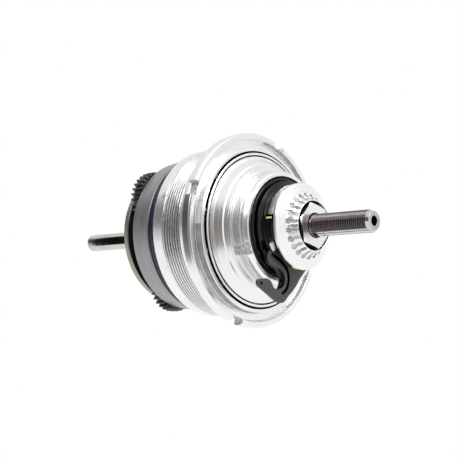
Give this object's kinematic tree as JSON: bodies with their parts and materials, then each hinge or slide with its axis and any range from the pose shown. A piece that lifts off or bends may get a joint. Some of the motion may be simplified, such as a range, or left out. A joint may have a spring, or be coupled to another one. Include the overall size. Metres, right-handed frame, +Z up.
{
  "type": "bicycle hub gear",
  "caption": "Internal unit of a rotary-shift bicycle hub gear: axle, planetary stages, ball ring, sprocket driver, cable pulley with hooked arm and domed lock washer.",
  "frame": {"origin": "on the axle's centre line, half-way between its two ends", "axes": "+Y along the axle away from the sprocket side, -Y towards the sprocket side, +Z up, +X forward on the bicycle"},
  "size_m": [0.09, 0.1832, 0.09],
  "materials": {
    "polished_steel": "bright turned and polished",
    "washer_steel": "bright zinc plated",
    "bearing_steel": "satin",
    "axle_steel": "oiled, rolled thread",
    "spring_steel": "dark ground",
    "gear_steel": "hardened, oiled",
    "sintered_steel": "matt sintered",
    "plate_steel": "pressed plate",
    "black_plastic": "glossy moulded",
    "navy_plastic": "semi-gloss moulded",
    "arm_gray": "flat dark gray"
  },
  "bodies": {
    "axle_unit": {"axle": "axle_steel", "sun_gear_1": "gear_steel", "sun_gear_2": "gear_steel", "sun_gear_3": "gear_steel", "drive_cone": "bearing_steel", "lock_washer": "washer_steel", "hex_locknut": "washer_steel", "return_spring": "spring_steel"},
    "shifter": {"cable_pulley": "black_plastic", "guide_ring": "bearing_steel", "shift_arm": "arm_gray", "spring_lug": "bearing_steel"},
    "cam": {"cam_sleeve": "gear_steel"},
    "driver_unit": {"driver": "polished_steel", "dust_cap": "black_plastic", "carrier_1": "bearing_steel", "planet_pin_1_1": "spring_steel", "planet_pin_1_2": "spring_steel", "planet_pin_1_3": "spring_steel"},
    "second_unit": {"ring_gear_1": "gear_steel", "carrier_2": "bearing_steel", "planet_pin_2_1": "spring_steel", "planet_pin_2_2": "spring_steel", "planet_pin_2_3": "spring_steel"},
    "third_unit": {"ring_gear_2": "sintered_steel", "seal_band": "navy_plastic", "end_plate": "plate_steel", "planet_pin_3_1": "spring_steel", "planet_pin_3_2": "spring_steel", "planet_pin_3_3": "spring_steel"},
    "ball_ring_unit": {"ball_ring": "polished_steel", "dust_shield": "bearing_steel"},
    "main_balls": {"main_ball_cage": "bearing_steel"},
    "cone_balls": {"cone_ball_cage": "bearing_steel"},
    "planet_1_1": {"planet_gear_1_1": "gear_steel"},
    "planet_1_2": {"planet_gear_1_2": "gear_steel"},
    "planet_1_3": {"planet_gear_1_3": "gear_steel"},
    "planet_2_1": {"planet_gear_2_1": "gear_steel"},
    "planet_2_2": {"planet_gear_2_2": "gear_steel"},
    "planet_2_3": {"planet_gear_2_3": "gear_steel"},
    "planet_3_1": {"planet_gear_3_1": "gear_steel"},
    "planet_3_2": {"planet_gear_3_2": "gear_steel"},
    "planet_3_3": {"planet_gear_3_3": "gear_steel"}
  },
  "joints": [
    {"name": "driver_spin", "type": "hinge", "parent": "axle_unit", "child": "driver_unit", "pos_m": [0, 0, 0], "axis": [0, 1, 0], "continuous": true},
    {"name": "second_unit_spin", "type": "hinge", "parent": "axle_unit", "child": "second_unit", "pos_m": [0, 0, 0], "axis": [0, 1, 0], "continuous": true},
    {"name": "third_unit_spin", "type": "hinge", "parent": "axle_unit", "child": "third_unit", "pos_m": [0, 0, 0], "axis": [0, 1, 0], "continuous": true},
    {"name": "ball_ring_spin", "type": "hinge", "parent": "axle_unit", "child": "ball_ring_unit", "pos_m": [0, 0, 0], "axis": [0, 1, 0], "continuous": true},
    {"name": "main_balls_spin", "type": "hinge", "parent": "axle_unit", "child": "main_balls", "pos_m": [0, 0, 0], "axis": [0, 1, 0], "continuous": true},
    {"name": "cone_balls_spin", "type": "hinge", "parent": "axle_unit", "child": "cone_balls", "pos_m": [0, 0, 0], "axis": [0, 1, 0], "continuous": true},
    {"name": "planet_1_1_spin", "type": "hinge", "parent": "driver_unit", "child": "planet_1_1", "pos_m": [-0.01303, -0.01005, 0.01349], "axis": [0, 1, 0], "continuous": true},
    {"name": "planet_1_2_spin", "type": "hinge", "parent": "driver_unit", "child": "planet_1_2", "pos_m": [-0.00517, -0.01005, -0.01802], "axis": [0, 1, 0], "continuous": true},
    {"name": "planet_1_3_spin", "type": "hinge", "parent": "driver_unit", "child": "planet_1_3", "pos_m": [0.01819, -0.01005, 0.00454], "axis": [0, 1, 0], "continuous": true},
    {"name": "planet_2_1_spin", "type": "hinge", "parent": "second_unit", "child": "planet_2_1", "pos_m": [-0.01303, 0.01445, 0.01349], "axis": [0, 1, 0], "continuous": true},
    {"name": "planet_2_2_spin", "type": "hinge", "parent": "second_unit", "child": "planet_2_2", "pos_m": [-0.00517, 0.01445, -0.01802], "axis": [0, 1, 0], "continuous": true},
    {"name": "planet_2_3_spin", "type": "hinge", "parent": "second_unit", "child": "planet_2_3", "pos_m": [0.01819, 0.01445, 0.00454], "axis": [0, 1, 0], "continuous": true},
    {"name": "planet_3_1_spin", "type": "hinge", "parent": "third_unit", "child": "planet_3_1", "pos_m": [-0.01667, 0.02385, 0.01726], "axis": [0, 1, 0], "continuous": true},
    {"name": "planet_3_2_spin", "type": "hinge", "parent": "third_unit", "child": "planet_3_2", "pos_m": [-0.00662, 0.02385, -0.02307], "axis": [0, 1, 0], "continuous": true},
    {"name": "planet_3_3_spin", "type": "hinge", "parent": "third_unit", "child": "planet_3_3", "pos_m": [0.02329, 0.02385, 0.00581], "axis": [0, 1, 0], "continuous": true},
    {"name": "pulley_turn", "type": "hinge", "parent": "axle_unit", "child": "shifter", "pos_m": [0, -0.04705, 0], "axis": [0, -1, 0], "range_deg": [0, 150], "stiffness_Nm_per_rad": 0.05, "springref_deg": -34.38},
    {"name": "cam_turn", "type": "hinge", "parent": "axle_unit", "child": "cam", "pos_m": [0, -0.02605, 0], "axis": [0, -1, 0], "range_deg": [0, 150]}
  ],
  "couplings": [
    {"joint": "second_unit_spin", "follows": "driver_spin", "ratio": 1.3333},
    {"joint": "third_unit_spin", "follows": "driver_spin", "ratio": 1.7778},
    {"joint": "ball_ring_spin", "follows": "driver_spin", "ratio": 2.3188},
    {"joint": "main_balls_spin", "follows": "driver_spin", "ratio": 1.7123},
    {"joint": "cone_balls_spin", "follows": "driver_spin", "ratio": 0.60305},
    {"joint": "planet_1_1_spin", "follows": "driver_spin", "ratio": 1},
    {"joint": "planet_1_2_spin", "follows": "driver_spin", "ratio": 1},
    {"joint": "planet_1_3_spin", "follows": "driver_spin", "ratio": 1},
    {"joint": "planet_2_1_spin", "follows": "driver_spin", "ratio": 1.3333},
    {"joint": "planet_2_2_spin", "follows": "driver_spin", "ratio": 1.3333},
    {"joint": "planet_2_3_spin", "follows": "driver_spin", "ratio": 1.3333},
    {"joint": "planet_3_1_spin", "follows": "driver_spin", "ratio": 1.5556},
    {"joint": "planet_3_2_spin", "follows": "driver_spin", "ratio": 1.5556},
    {"joint": "planet_3_3_spin", "follows": "driver_spin", "ratio": 1.5556},
    {"joint": "cam_turn", "follows": "pulley_turn", "ratio": 1}
  ]
}
